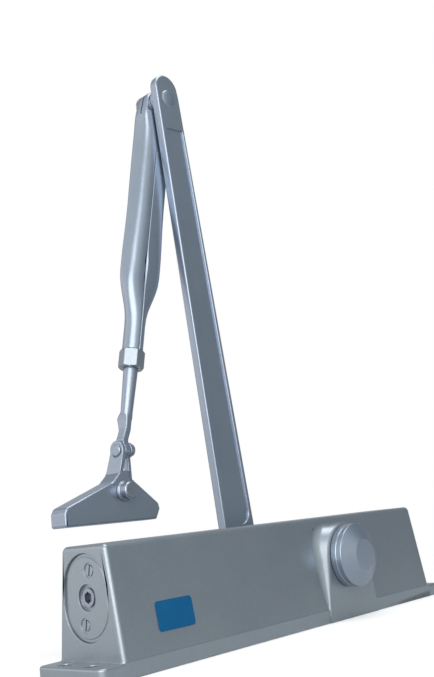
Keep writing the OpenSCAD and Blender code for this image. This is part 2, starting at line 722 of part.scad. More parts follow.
module shoe_nut()
    color(steel) at_pin() translate([shoe_bolt_x, -shoe_d / 2 + shoe_wall, shoe_bolt_z])
        rotate([-90, 0, 0]) difference() {
            cylinder(h = 4, r = 4.6, $fn = 6);
            translate([0, 0, -1]) cylinder(h = 6, r = shoe_bolt_r + fit);
        }

// ---------- label ----------
// thin plate that follows the flank and the upright band
module name_label()
    color([0.05, 0.35, 0.62]) intersection() {
        difference() {
            slab_x(-half_l, 0) translate([-0.33, 0]) housing_section();
            slab_x(-half_l - 1, 1) translate([-0.03, 0]) housing_section();
        }
        slab_y(-body_w, 0) translate([-half_l + label_in, label_z])
            polygon(rounded([[0, 0], [label_l, 0], [label_l, label_h], [0, label_h]],
                [1.8, 1.8, 1.8, 1.8]));
    }

body_casting();
valve_plug();
plain_plug();
plug_seals();
closing_valve();
latching_valve();
power_adjuster();
spring_seat();
main_spring();
piston();
check_valve();
bearings();
pinion_cap();
gland_nut();
shaft_seal();
name_label();
pinion_shaft();
main_arm();
arm_washer();
arm_screw();
elbow_rivet();
elbow_washers();
forearm();
lock_nut();
adjusting_rod();
shoe_bracket();
clevis_pin();
shoe_bolt();
shoe_nut();
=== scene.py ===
"""Looks of a surface-mounted door closer, laid out as a Blender add-on and run as a script."""
import json
import math

import bmesh
import bpy
from bpy.props import FloatProperty, FloatVectorProperty, PointerProperty
from mathutils import Matrix, Vector


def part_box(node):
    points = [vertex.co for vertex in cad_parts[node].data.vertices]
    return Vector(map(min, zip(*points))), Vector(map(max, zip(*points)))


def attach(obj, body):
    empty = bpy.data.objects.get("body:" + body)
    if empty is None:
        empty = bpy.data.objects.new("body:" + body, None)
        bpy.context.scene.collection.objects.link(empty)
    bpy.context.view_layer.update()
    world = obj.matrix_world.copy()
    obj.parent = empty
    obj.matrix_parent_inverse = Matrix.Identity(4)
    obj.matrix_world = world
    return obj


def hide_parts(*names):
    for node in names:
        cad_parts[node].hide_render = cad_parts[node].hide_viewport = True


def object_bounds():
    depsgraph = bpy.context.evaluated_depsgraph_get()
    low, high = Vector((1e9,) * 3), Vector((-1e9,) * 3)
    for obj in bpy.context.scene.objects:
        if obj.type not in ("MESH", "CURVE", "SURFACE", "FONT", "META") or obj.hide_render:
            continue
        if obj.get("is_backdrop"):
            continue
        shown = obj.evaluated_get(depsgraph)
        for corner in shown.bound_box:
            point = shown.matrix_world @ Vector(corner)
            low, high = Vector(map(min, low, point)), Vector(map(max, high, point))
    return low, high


bl_info = {
    "name": "Door closer",
    "version": (1, 0, 0),
    "blender": (4, 5, 0),
    "location": "3D View > Sidebar > Door closer",
    "description": "Builds the pieces, finishes and stage of a surface-mounted door closer",
    "category": "Object",
}

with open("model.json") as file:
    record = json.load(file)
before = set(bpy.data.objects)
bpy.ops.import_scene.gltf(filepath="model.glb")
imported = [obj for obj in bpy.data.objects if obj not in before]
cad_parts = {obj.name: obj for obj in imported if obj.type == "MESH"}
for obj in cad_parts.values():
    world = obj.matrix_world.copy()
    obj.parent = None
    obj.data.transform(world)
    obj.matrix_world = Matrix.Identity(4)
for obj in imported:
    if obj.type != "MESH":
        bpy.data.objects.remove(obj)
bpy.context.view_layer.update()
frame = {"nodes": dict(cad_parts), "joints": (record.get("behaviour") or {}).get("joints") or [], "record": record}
NODES = frame["nodes"]
JOINTS = {j["name"]: j for j in frame["joints"]}
MM = 0.001
NEAR = 0.1 * MM         # how close counts as lying on a face
ARM_FACE = 57.0         # front of the main arm, in mm from the middle of the closer


# ---------- settings ----------
def colour(name, text, value):
    """A colour that can be set."""
    return FloatVectorProperty(name=name, description=text, default=value, subtype="COLOR", min=0, max=1)


def length(name, text, value):
    """A size that can be set, in metres."""
    return FloatProperty(name=name, description=text, default=value, unit="LENGTH", precision=5)


def share(name, text, value, most=1.0):
    """A plain number that can be set, from 0 to most."""
    return FloatProperty(name=name, description=text, default=value, min=0, max=most)


def power(name, text, value):
    """A lamp's power that can be set."""
    return FloatProperty(name=name, description=text, default=value, unit="POWER")


class CloserFinishes(bpy.types.PropertyGroup):
    """Colours of the finishes"""
    paint: colour("Housing paint", "Silver lacquer of the housing", (0.300, 0.350, 0.395))
    flake: colour("Flake", "Bright flake in the housing's lacquer", (0.378, 0.430, 0.470))
    arm_paint: colour("Arm paint", "Silver lacquer of the arms and shoe", (0.296, 0.358, 0.440))
    arm_flake: colour("Arm flake", "Bright flake in the arms' lacquer", (0.378, 0.436, 0.524))
    # Lighter colour of the edges: partly metal where the lacquer is rubbed thin, partly a painted edge highlight.
    rubbed_edge_and_highlight: colour("Worn edge", "Metal where the lacquer is rubbed thin", (0.62, 0.66, 0.70))
    zinc: colour("Zinc", "Zinc plate of nuts and bolts", (0.38, 0.42, 0.49))
    steel: colour("Steel", "Ground steel of the inner parts", (0.42, 0.43, 0.45))
    rubber: colour("Seal", "Black seal rubber", (0.016, 0.016, 0.018))
    label: colour("Label", "Blue of the plain label", (0.002, 0.080, 0.205))
    dust: share("Dust", "Amount of grey dust", 0.25)


class CloserEdges(bpy.types.PropertyGroup):
    """Roundings of the castings, the arms and the pressed bracket"""
    casting: length("Casting edge", "Rounding of the casting's upright end edges", 2.3 * MM)
    foot: length("Foot edge", "Rounding of the feet's upper rims", 1.2 * MM)
    machined: length("Machined edge", "Break of machined edges", 0.35 * MM)
    arm: length("Arm edge", "Rounding of the main arm's outline", 1.3 * MM)
    rib: length("Rib edge", "Rounding of the thin rib's outer edge", 0.55 * MM)
    draft: length("Recess lift", "How much shallower the pressed recess is than its blank", 0.7 * MM)
    bend: length("Sheet bend", "Outer rounding of the pressed bracket's bends", 1.3 * MM)
    sheet: length("Sheet edge", "Break of the pressed bracket's cut edges", 0.5 * MM)


class CloserForearm(bpy.types.PropertyGroup):
    """The rolled forearm, measured down from the elbow axis"""
    half_width: length("Half width", "Half the width of the flat part", 12.4 * MM)
    half_depth: length("Half depth", "Half the depth of the flat part", 5.9 * MM)
    swell: length("Swell", "Extra depth behind the elbow", 2.2 * MM)
    neck: length("Neck radius", "Radius of the round end", 6.5 * MM)
    end: length("End", "Distance from the elbow to the open end", 180.5 * MM)
    wall: length("Wall", "Thickness of the rolled sheet", 2.2 * MM)
    slope: share("Slope", "How far the near side leans in towards the front", 0.36, 0.6)


class CloserStage(bpy.types.PropertyGroup):
    """Floor, light and camera"""
    floor: colour("Floor", "Colour of the floor", (0.60, 0.605, 0.61))
    lift: share("Floor lift", "Light added to the floor as the camera sees it", 0.43)
    key: power("Key light", "Power of the broad light on the near side", 8.5)
    top: power("Top light", "Power of the light overhead", 5.5)
    sky: share("Sky", "Strength of the bright side of the surroundings", 0.76, 10.0)
    shade: share("Shade", "Strength of the dim side of the surroundings", 0.27, 10.0)
    lens: FloatProperty(name="Lens", description="Focal length of the camera", default=45.375, unit="CAMERA")
    camera_at: FloatVectorProperty(name="Camera", description="Place of the camera",
                                   default=(-0.3741, -0.3192, 0.0627), subtype="TRANSLATION")


# ---------- shader sheets ----------
class Wire:
    """A socket that takes part in arithmetic; each operation adds its node."""

    def __init__(self, sheet, socket):
        self.sheet, self.socket = sheet, socket

    def _sum(self, kind, a, b):
        """A node that works out kind on a and b, of numbers or of vectors."""
        if self.socket.type == "VECTOR":
            if kind == "MULTIPLY" and not isinstance(b, (Wire, tuple)):
                return self.sheet.add("ShaderNodeVectorMath", {"operation": "SCALE"}, {0: a, 3: b})
            return self.sheet.add("ShaderNodeVectorMath", {"operation": kind}, {0: a, 1: b})
        return self.sheet.add("ShaderNodeMath", {"operation": kind}, {0: a, 1: b})

    def __add__(self, other): return self._sum("ADD", self, other)
    def __radd__(self, other): return self._sum("ADD", self, other)
    def __sub__(self, other): return self._sum("SUBTRACT", self, other)
    def __rsub__(self, other): return self._sum("SUBTRACT", other, self)
    def __mul__(self, other): return self._sum("MULTIPLY", self, other)
    def __rmul__(self, other): return self._sum("MULTIPLY", self, other)
    def __truediv__(self, other): return self._sum("DIVIDE", self, other)
    def __pow__(self, other): return self._sum("POWER", self, other)
    def least(self, other): return self._sum("MINIMUM", self, other)
    def most(self, other): return self._sum("MAXIMUM", self, other)

    def band(self, low, high, to_low=0.0, to_high=1.0):
        """Maps low..high to to_low..to_high, smoothly and clamped."""
        return self.sheet.add("ShaderNodeMapRange", {"interpolation_type": "SMOOTHSTEP"},
                              {0: self, 1: low, 2: high, 3: to_low, 4: to_high})


class Sheet:
    """The node tree of one material, world or lamp."""

    def __init__(self, tree):
        self.tree = tree
        tree.nodes.clear()

    def add(self, kind, settings=None, inputs=None, out=0):
        """A new node: its settings come first, then the values or links of its sockets."""
        node = self.tree.nodes.new(kind)
        for key, value in (settings or {}).items():
            if key == "stops":
                ramp = node.color_ramp.elements
                while len(ramp) < len(value):
                    ramp.new(0.5)
                for stop, (at, tint) in zip(ramp, value):
                    stop.position, stop.color = at, tint
            else:
                setattr(node, key, value)
        for key, value in (inputs or {}).items():
            socket = node.inputs[key]
            if isinstance(value, Wire):
                self.tree.links.new(value.socket, socket)
            elif socket.type == "RGBA" and len(value) == 3:
                socket.default_value = (*value, 1)
            else:
                socket.default_value = value
        return Wire(self, node.outputs[out]) if len(node.outputs) else None

    def place(self):
        """Position on the piece, in metres."""
        return self.add("ShaderNodeTexCoord", out=3)

    def parts(self, vector):
        """The three numbers of a vector."""
        split = self.add("ShaderNodeSeparateXYZ", {}, {0: vector})
        return [Wire(self, o) for o in split.socket.node.outputs]

    def noise(self, where, scale, detail, rough):
        """Clouds from 0 to 1, scale of them to the metre."""
        return self.add("ShaderNodeTexNoise", {},
                        {"Vector": where, "Scale": scale, "Detail": detail, "Roughness": rough})

    def mix(self, amount, first, second):
        """Colour between first and second."""
        return self.add("ShaderNodeMix", {"data_type": "RGBA"}, {0: amount, 6: first, 7: second}, out=2)

    def bump(self, height, strength, distance, under=None):
        """Relief from height, laid over the relief under it."""
        links = {"Height": height, "Strength": strength, "Distance": distance}
        if under is not None:
            links["Normal"] = under
        return self.add("ShaderNodeBump", {}, links)

    def rubbed_and_highlit_edges(self, radius):
        """1 on edges that stand out within radius, 0 on flats: the mask for rubbed edges and painted edge highlights.
        """
        soft = self.add("ShaderNodeBevel", {"samples": 6}, {"Radius": radius})
        flat = self.add("ShaderNodeNewGeometry", out=1)
        turn = self.add("ShaderNodeVectorMath", {"operation": "DOT_PRODUCT"}, {0: soft, 1: flat}, out=1)
        return turn.band(0.97, 0.86)

    def surface(self, **sockets):
        """The finished surface, its sockets named with _ for each space."""
        named = {key.replace("_", " "): value for key, value in sockets.items()}
        shader = self.add("ShaderNodeBsdfPrincipled", {}, named)
        self.add("ShaderNodeOutputMaterial", {}, {0: shader})


MATERIALS = {}


def finish(name):
    """The material called name, made once."""
    if name not in MATERIALS:
        mat = bpy.data.materials.new(name)
        mat.use_nodes = True
        RECIPES[name](Sheet(mat.node_tree), bpy.context.scene.closer_finishes)
        MATERIALS[name] = mat
    return MATERIALS[name]


def lacquer(s, f, base, flake, rough):
    """Silver lacquer: fine flake, slow clouding, orange peel, a little dust, and lighter edges that are partly rubbed
    lacquer and partly a painted highlight.
    """
    at = s.place()
    cloud = s.noise(at, 28.0, 4.0, 0.6)
    grain = s.noise(at, 1400.0, 2.0, 0.7)
    spark = s.add("ShaderNodeTexVoronoi", {"feature": "F1"}, {"Vector": at, "Scale": 2600.0}, out=1)
    _, _, spark_z = s.parts(spark)
    lively = (cloud * 0.35 + grain * 0.35 + spark_z * 0.30).band(0.25, 0.75)
    body = s.mix(lively * 0.55, base, flake)
    # Patches along the edges go lighter, towards bare metal: partly rubbed lacquer, partly a painted edge highlight.
    edge = (s.rubbed_and_highlit_edges(0.0011) * s.noise(at, 160.0, 5.0, 0.7).band(0.42, 0.62)).band(0.0, 1.0)
    colour_out = s.mix(edge * 0.55, body, tuple(f.rubbed_edge_and_highlight))
    dust = s.noise(at, 55.0, 6.0, 0.65).band(0.52, 0.75) * f.dust
    colour_out = s.mix(dust * 0.35, colour_out, (0.30, 0.30, 0.285))
    peel = s.noise(at, 420.0, 2.0, 0.5)
    wave = s.noise(at, 60.0, 2.0, 0.5)
    normal = s.bump(peel, 0.16, 0.0002, s.bump(wave, 0.10, 0.0008))
    s.surface(Base_Color=colour_out, Metallic=0.84, Roughness=(rough + 0.08 * (cloud - 0.5) + dust * 0.20),
              Coat_Weight=0.20, Coat_Roughness=0.16, Normal=normal)


def casting_paint(s, f): lacquer(s, f, tuple(f.paint), tuple(f.flake), rough=0.36)
def arm_paint(s, f): lacquer(s, f, tuple(f.arm_paint), tuple(f.arm_flake), rough=0.30)


def turned_metal(s, base, rough, scratch):
    """Machined or plated metal: fine concentric tool lines, stains and small scratches."""
    at = s.place()
    stain = s.noise(at, 90.0, 5.0, 0.65)
    lines = s.noise(at * (9000.0, 9000.0, 500.0), 1.0, 2.0, 0.6)
    colour_out = s.mix(stain.band(0.35, 0.75) * 0.45, base, tuple(c * 0.55 for c in base))
    nick = s.noise(at, 700.0, 3.0, 0.8)
    normal = s.bump(lines * 0.6 + nick * 0.4, scratch, 0.00008)
    s.surface(Base_Color=colour_out, Metallic=0.92, Roughness=(rough + 0.16 * (stain - 0.5)), Normal=normal)


def zinc_plate(s, f): turned_metal(s, tuple(f.zinc), rough=0.27, scratch=0.18)
def ground_steel(s, f): turned_metal(s, tuple(f.steel), rough=0.30, scratch=0.30)
def spring_steel(s, f): turned_metal(s, (0.16, 0.155, 0.15), rough=0.38, scratch=0.2)


def seal_rubber(s, f):
    """Black rubber with a faint grey bloom."""
    at = s.place()
    bloom = s.noise(at, 240.0, 5.0, 0.6)
    body = s.mix(bloom.band(0.4, 0.8) * 0.3, tuple(f.rubber), (0.07, 0.07, 0.07))
    normal = s.bump(s.noise(at, 1500.0, 2.0, 0.5), 0.2, 0.0001)
    s.surface(Base_Color=body, Roughness=bloom * 0.25 + 0.5, Normal=normal)


def blue_film(s, f):
    """Printed film: flat blue, faint print grain, soft gloss."""
    at = s.place()
    print_grain = s.noise(at, 1800.0, 2.0, 0.6)
    drift = s.noise(at, 120.0, 3.0, 0.5)
    body = s.mix((print_grain * 0.5 + drift * 0.5).band(0.3, 0.7) * 0.3, tuple(f.label), (0.004, 0.14, 0.33))
    normal = s.bump(s.noise(at, 300.0, 2.0, 0.5), 0.08, 0.0001)
    s.surface(Base_Color=body, Roughness=0.45 + 0.08 * drift, Specular_IOR_Level=0.18, Normal=normal)


RECIPES = {
    "casting_paint": casting_paint, "arm_paint": arm_paint, "zinc_plate": zinc_plate,
    "ground_steel": ground_steel, "spring_steel": spring_steel,
    "seal_rubber": seal_rubber, "blue_film": blue_film,
}


# ---------- shapes ----------
def body_of(node):
    """The moving body that a node is part of."""
    for body, names in frame["record"]["behaviour"]["bodies"].items():
        if node in names:
            return body
    raise ValueError(f"{node} is in no body")


def linked(name, data):
    """An object of data in the scene."""
    obj = bpy.data.objects.new(name, data)
    bpy.context.scene.collection.objects.link(obj)
    return obj


def object_of(name, bm):
    """An object made from bm, which is used up."""
    mesh = bpy.data.meshes.new(name)
    bm.to_mesh(mesh)
    bm.free()
    return linked(name, mesh)


def painted(mesh, material):
    """Gives a mesh its finish."""
    mesh.materials.clear()
    mesh.materials.append(finish(material))


def shade(mesh, angle):
    """Smooth faces, with edges sharper than angle left crisp."""
    mesh.polygons.foreach_set("use_smooth", [True] * len(mesh.polygons))
    mesh.set_sharp_from_angle(angle=math.radians(angle))
    mesh.update()


def cad_mesh(node):
    """A welded copy of a node's solid, with its flat faces made whole."""
    bm = bmesh.new()
    bm.from_mesh(NODES[node].data)
    bmesh.ops.remove_doubles(bm, verts=bm.verts, dist=2e-6)
    bmesh.ops.dissolve_limit(bm, angle_limit=math.radians(0.6), verts=bm.verts, edges=bm.edges)
    return bm


def applied(obj):
    """The object's mesh with its modifiers applied, put in place of the old one."""
    old = obj.data
    mesh = bpy.data.meshes.new_from_object(obj.evaluated_get(bpy.context.evaluated_depsgraph_get()))
    obj.modifiers.clear()
    obj.data = mesh
    bpy.data.meshes.remove(old)
    return mesh


def forged(node, material, grain, passes):
    """A copy of a node with its edges and joints flowing into each other, as a forging's do."""
    obj = object_of(node + "_piece", cad_mesh(node))
    remesh = obj.modifiers.new("remesh", "REMESH")
    remesh.mode, remesh.voxel_size = "VOXEL", grain
    ease_off = obj.modifiers.new("smooth", "SMOOTH")
    ease_off.factor, ease_off.iterations = 0.5, passes
    done = applied(obj)
    done.name = node + "_piece"
    painted(done, material)
    shade(done, 60)
    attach(obj, body_of(node))
    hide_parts(node)
    return obj


def turned(node, profile, place, material, sides=72):
    """Lathe work in a node's place: profile is a closed list of (radius, height) in mm about the local Z axis."""
    bm = bmesh.new()
    rings = []
    for k in range(sides):
        turn = 2 * math.pi * k / sides
        rings.append([bm.verts.new((r * math.cos(turn) * MM, r * math.sin(turn) * MM, h * MM)) for r, h in profile])
    for k in range(sides):
        a, b = rings[k], rings[(k + 1) % sides]
        for i in range(len(profile)):
            j = (i + 1) % len(profile)
            bm.faces.new((a[i], b[i], b[j], a[j]))
    bmesh.ops.remove_doubles(bm, verts=bm.verts, dist=1e-6)
    bmesh.ops.dissolve_degenerate(bm, edges=bm.edges, dist=1e-7)
    bmesh.ops.recalc_face_normals(bm, faces=bm.faces)
    bm.transform(place)
    obj = object_of(node + "_piece", bm)
    painted(obj.data, material)
    shade(obj.data, 32)
    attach(obj, body_of(node))
    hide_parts(node)
    return obj


def softened(node, material, width, steps, sharp, radius_at=None, clamp=False, bm=None):
    """A copy of a node, or bm in its place, whose edges over sharp degrees are rounded in steps, by width or by
    radius_at(middle of edge, edge), which may be no more than width."""
    bm = bm or cad_mesh(node)
    weight = bm.edges.layers.float.new("bevel_weight_edge")
    for e in bm.edges:
        if len(e.link_faces) == 2:
            turn = e.calc_face_angle(0.0)
            if turn > math.radians(sharp):
                r = radius_at((e.verts[0].co + e.verts[1].co) / 2, e) if radius_at else width
                e[weight] = min(1.0, max(0.0, r / width))
    obj = object_of(node + "_piece", bm)
    mod = obj.modifiers.new("edges", "BEVEL")
    mod.width, mod.segments, mod.limit_method = width, steps, "WEIGHT"
    mod.use_clamp_overlap, mod.miter_outer, mod.loop_slide = clamp, "MITER_SHARP", True
    done = applied(obj)
    clean = bmesh.new()
    clean.from_mesh(done)
    bmesh.ops.remove_doubles(clean, verts=clean.verts, dist=1e-6)
    bmesh.ops.dissolve_degenerate(clean, edges=clean.edges, dist=1e-6)
    clean.to_mesh(done)
    clean.free()
    shade(done, 40)
    even = obj.modifiers.new("even", "WEIGHTED_NORMAL")
    even.keep_sharp, even.weight = True, 60
    done = applied(obj)
    done.name = node + "_piece"
    painted(done, material)
    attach(obj, body_of(node))
    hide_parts(node)
    return obj


def sliced(bm, point, way):
    """Cuts the faces of bm along a plane, so that roundings on its two sides stay apart."""
    bmesh.ops.bisect_plane(bm, geom=bm.verts[:] + bm.edges[:] + bm.faces[:], plane_co=point, plane_no=way)


class CLOSER_OT_housing(bpy.types.Operator):
    """Builds the cast housing with its rounded edges, and finishes the end plugs and the label"""
    bl_idname = "closer.housing"
    bl_label = "Housing"

    def execute(self, context):
        e = context.scene.closer_edges
        plug_lo, plug_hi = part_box("valve_plug")
        pinion = Vector(JOINTS["pinion_turn"]["pos_m"])
        half = 130 * MM                         # half the length of the box between the feet
        foot = 7 * MM                           # thickness of the feet
        hole_x, hole_y = 11 * MM, 13.4 * MM     # reach of the screw holes past the end face and from the middle
        pocket_y, spare = 16 * MM, 0.3 * MM     # half the width of the plug's pocket, and the room round it
        pad, pad_top = 23.6 * MM, 55.8 * MM     # face of the pinion's pad from the middle, and its upper end
        pad_x, seat = 27 * MM, 17 * MM          # half the pad's width with its fillet, and the cap's seat
        flank_y = 14 * MM                       # all of the pad is farther out than this
        fillet, rim = 3.4 * MM, 1.3 * MM        # widest fillet round the pad, and widest rounding of its rim

        def wall(z):
            """Height of the pad above the sloping flank."""
            return 0.8 * MM + 0.14 * (z - foot)

        def end_radius(p, edge, ends):
            """Rounding of the end faces and of the feet beyond them."""
            if all(abs(c.x) < half + NEAR for c in ends):
                if abs(p.y) < pocket_y and plug_lo.z - spare < p.z < plug_hi.z + spare:
                    return e.machined
                return e.casting if edge.is_convex else 0.0
            if all(c.z > foot - NEAR for c in ends):
                by_hole = abs(p.x) < half + hole_x and abs(p.y) < hole_y
                return 0.55 * MM if by_hole else e.foot
            return 0.0

        def pad_radius(p, edge, ends):
            """Rounding of the pad's rim, or the fillet from the pad to the flank: both run out at the foot."""
            start = min(1.0, (p.z - foot) / (6 * MM))
            if edge.is_convex:
                on_rim = all(abs(c.y) > pad - NEAR for c in ends)
                return start * min(rim, 0.25 * wall(p.z)) if on_rim else 0.0
            side = min(1.0, abs(p.x - pinion.x) / (24 * MM))
            under_top = max(0.75 * (pad_top - p.z), 0.2 * MM)
            return start * min(fillet, (0.25 + 0.45 * side) * wall(p.z), under_top)

        def radius_at(p, edge):
            ends = [v.co for v in edge.verts]
            if all(c.z < NEAR for c in ends):
                return 0.4 * MM if abs(p.x) > half else 0.0
            if all(abs(c.x) > half - NEAR for c in ends):
                return end_radius(p, edge, ends)
            aside, away = abs(p.x - pinion.x), math.hypot(p.x - pinion.x, p.z - pinion.z)
            on_pad = aside < pad_x and away > seat and abs(p.y) > flank_y and p.z > foot + NEAR
            return pad_radius(p, edge, ends) if on_pad else 0.0

        def is_pad_side(edge):
            """Long edges up the pad, which are cut so that their rounding can vary."""
            a, b = (v.co for v in edge.verts)
            return (edge.calc_length() > 25 * MM and abs((a.x + b.x) / 2 - pinion.x) < 25 * MM
                    and abs(a.z - b.z) > 20 * MM)

        bm = cad_mesh("body_casting")
        for x in (-half - spare, half + spare):
            sliced(bm, (x, 0, 0), (1, 0, 0))
        bmesh.ops.bisect_edges(bm, edges=[edge for edge in bm.edges if is_pad_side(edge)], cuts=6)
        softened("body_casting", "casting_paint", fillet, steps=5, sharp=20.0,
                 radius_at=radius_at, bm=bm)
        for node in ("valve_plug", "plain_plug"):
            softened(node, "casting_paint", e.machined, steps=2, sharp=30.0, clamp=True)
        for node in ("closing_valve", "latching_valve", "power_adjuster"):
            softened(node, "zinc_plate", 0.2 * MM, steps=2, sharp=30.0, clamp=True)
        softened("name_label", "blue_film", 0.1 * MM, steps=2, sharp=40.0, clamp=True)
        return {"FINISHED"}


class CLOSER_OT_pinion_cap(bpy.types.Operator):
    """Finishes the stepped cap over the pinion and the gland nut on the arm side"""
    bl_idname = "closer.pinion_cap"
    bl_label = "Pinion cap"

    def execute(self, context):
        e = context.scene.closer_edges
        softened("pinion_cap", "arm_paint", 0.2 * MM, steps=3, sharp=18.0)
        softened("gland_nut", "zinc_plate", e.machined, steps=2, sharp=30.0, clamp=True)
        painted(NODES["shaft_seal"].data, "seal_rubber")
        return {"FINISHED"}


class CLOSER_OT_mechanism(bpy.types.Operator):
    """Finishes the parts inside the housing: piston, pinion, bearings, spring and seals"""
    bl_idname = "closer.mechanism"
    bl_label = "Mechanism"

    def execute(self, context):
        for node in ("piston", "bearings", "spring_seat", "pinion_shaft"):
            painted(NODES[node].data, "ground_steel")
        painted(NODES["main_spring"].data, "spring_steel")
        painted(NODES["check_valve"].data, "zinc_plate")
        painted(NODES["plug_seals"].data, "seal_rubber")
        return {"FINISHED"}


class CLOSER_OT_main_arm(bpy.types.Operator):
    """Builds the ribbed main arm with its screw and washer"""
    bl_idname = "closer.main_arm"
    bl_label = "Main arm"

    def execute(self, context):
        e = context.scene.closer_edges
        pinion, elbow = (Vector(JOINTS[j]["pos_m"]) for j in ("pinion_turn", "elbow_fold"))
        along = Vector((elbow.x - pinion.x, 0, elbow.z - pinion.z))
        reach = along.length
        along.normalize()
        across = Vector((along.z, 0, -along.x))
        front, back = ARM_FACE * MM, 63 * MM
        wide, narrow = 14.2, 10.1                   # half the arm's width at the pinion and at the elbow, in mm
        recess = 2 * MM                             # depth of the recess in the solid
        hub, eye, step = 18 * MM, 6 * MM, 25 * MM   # reach of the hub, of the rivet's hole and of the plain end

        def radius_at(p, edge):
            s, t = (p - pinion).dot(along), (p - pinion).dot(across)
            ends = [v.co.y for v in edge.verts]
            if s < hub:
                return 0.0
            if math.hypot(s - reach, t) < eye:
                return 0.15 * MM
            if all(abs(y - front) < NEAR for y in ends):
                half = wide * MM + (narrow - wide) * MM * s / reach
                if abs(abs(t) - half) < 0.5 * MM or s > reach:
                    return e.arm if t < 0 or s > reach else e.rib
                if s > reach - step:
                    return 0.2 * MM
                return 0.9 * MM if t > 0 else 0.4 * MM
            return 1.0 * MM if all(abs(y - back) < NEAR for y in ends) else 0.0

        bm = cad_mesh("main_arm")
        for v in bm.verts:
            if abs(v.co.y - front - recess) < NEAR / 2 and (v.co - pinion).dot(along) > 20 * MM:
                v.co.y -= e.draft
        softened("main_arm", "arm_paint", e.arm, steps=4, sharp=26.0,
                 radius_at=radius_at, bm=bm)
        softened("arm_washer", "zinc_plate", 0.2 * MM, steps=2, sharp=30.0, clamp=True)
        softened("arm_screw", "zinc_plate", 0.3 * MM, steps=2, sharp=26.0, clamp=True)
        return {"FINISHED"}


def ease(low, high, at):
    """0 below low, 1 above high and smooth between."""
    t = min(1.0, max(0.0, (at - low) / (high - low)))
    return t * t * (3 - 2 * t)


def blend(a, b, t):
    """a at t = 0 and b at t = 1."""
    return a + (b - a) * t


def forearm_place():
    """Matrix from the forearm's own frame, with the tube along -Z from the elbow, to the model's."""
    down = Vector(JOINTS["rod_extend"]["axis"])
    turn = Matrix((Vector((-down.z, 0, down.x)), Vector((0, 1, 0)), -down)).transposed().to_4x4()
    return Matrix.Translation(Vector(JOINTS["elbow_fold"]["pos_m"])) @ turn


# where the forearm changes, in mm below the elbow
EYE_AT, EYE_R = 3, 11.4         # centre and radius of the round end
FLARES = (3, 15)                # the end spreads to the width of the flat part
CROWNS = (8, 30)                # the near side starts to lean and its front corner to soften
SWELL_ENDS = (30, 130)          # the extra depth at the back runs out
WIDENS = (80, 120.5)            # the flat part spreads to its shoulder
OPENS = (120.5, 156.5)          # the corners open out to a circle
DEEPENS = (124.5, 156.5)        # front and back move out to the neck
NARROWS = (128.5, 163.5)        # the sides run in to the neck
FLARE, SHOULDER = 1, 1.3        # how far each side spreads below the end, and at the shoulder
SQUARE, SOFT, CIRCLE = 5.0, 3.2, 2.0    # powers of the section's corners: crisp, softened and round


def forearm_ring(f, at, inset, count=112):
    """Outline of the tube's section at a distance in mm below the elbow: rounded box above, circle at the neck."""
    width, depth, neck = f.half_width / MM, f.half_depth / MM, f.neck / MM
    flat = blend(width, width + SHOULDER, ease(*WIDENS, at))
    a = blend(flat, neck, ease(*NARROWS, at)) - FLARE + ease(*FLARES, at)
    b = blend(depth, neck, ease(*DEEPENS, at))
    back = f.swell / MM * (1 - ease(*SWELL_ENDS, at))
    front_fall = 1.0
    if at < EYE_AT:
        a = math.sqrt(max(0.01, (width - FLARE) ** 2 - (at - EYE_AT) ** 2))
        front_fall = math.sqrt(max(0.0, 1 - ((EYE_AT - at) / EYE_R) ** 2))
    round_off, crown = ease(*OPENS, at), ease(*CROWNS, at)
    lean = f.slope * crown * (1 - round_off)
    ring = []
    for k in range(count):
        turn = 2 * math.pi * k / count
        c, s = math.cos(turn), math.sin(turn)
        power = blend(SQUARE if s >= 0 or c >= 0 else blend(SQUARE, SOFT, crown), CIRCLE, round_off)
        x = math.copysign(abs(c) ** (2 / power), c) * (a - inset)
        y = math.copysign(abs(s) ** (2 / power), s) * ((b + back if s > 0 else b * front_fall) - inset)
        if x < 0:
            x *= 1 - lean * (b + back - inset - y) / (2 * b + back - 2 * inset)
        ring.append(Vector((x, y, -at)) * MM)
    return ring


# sections that shape the forearm, the hollow in it and its seam, in mm below the elbow
SKIN_AT = (-8.38, -8.3, -8.1, -7.7, -7.1, -6.3, -5.2, -3.8, -2, 0.3, 3, 7, 11, 15, 24, 36, 50, 64, 80, 92, 104,
           114, 122, 128, 133, 138, 143, 148, 153, 158, 164, 172)
HOLLOW_AT = (16, 36, 64, 92, 122, 133, 143, 150)
SEAM_AT = (39, 60, 90, 112, 120, 126, 132, 138, 144, 152, 160)


def skinned(bm, rings):
    """Walls from ring to ring and a cap at each end, all facing outwards."""
    count = len(rings[0])
    for upper, lower in zip(rings, rings[1:]):
        for k in range(count):
            j = (k + 1) % count
            bm.faces.new((upper[k], upper[j], lower[j], lower[k]))
    bm.faces.new(rings[0][::-1])
    bm.faces.new(rings[-1])
    bmesh.ops.recalc_face_normals(bm, faces=bm.faces)
    return bm


def forearm_loft(f, stations, inset):
    """The forearm's body through the stations, pulled in by inset all round."""
    bm = bmesh.new()
    return skinned(bm, [[bm.verts.new(p) for p in forearm_ring(f, at, inset / MM)] for at in stations])


def rod_of(start, end, radius, sides):
    """Cylinder between two points."""
    bm = bmesh.new()
    way = Vector(end) - Vector(start)
    middle = Matrix.Translation((Vector(start) + Vector(end)) / 2)
    place = middle @ way.to_track_quat("Z", "Y").to_matrix().to_4x4()
    bmesh.ops.create_cone(bm, cap_ends=True, segments=sides, radius1=radius, radius2=radius,
                          depth=way.length, matrix=place)
    return bm


def block_of(low, high):
    """Box between two corners."""
    bm = bmesh.new()
    size = Vector(high) - Vector(low)
    place = Matrix.Translation(Vector(low) + size / 2) @ Matrix.Diagonal((*size, 1))
    bmesh.ops.create_cube(bm, size=1.0, matrix=place)
    return bm


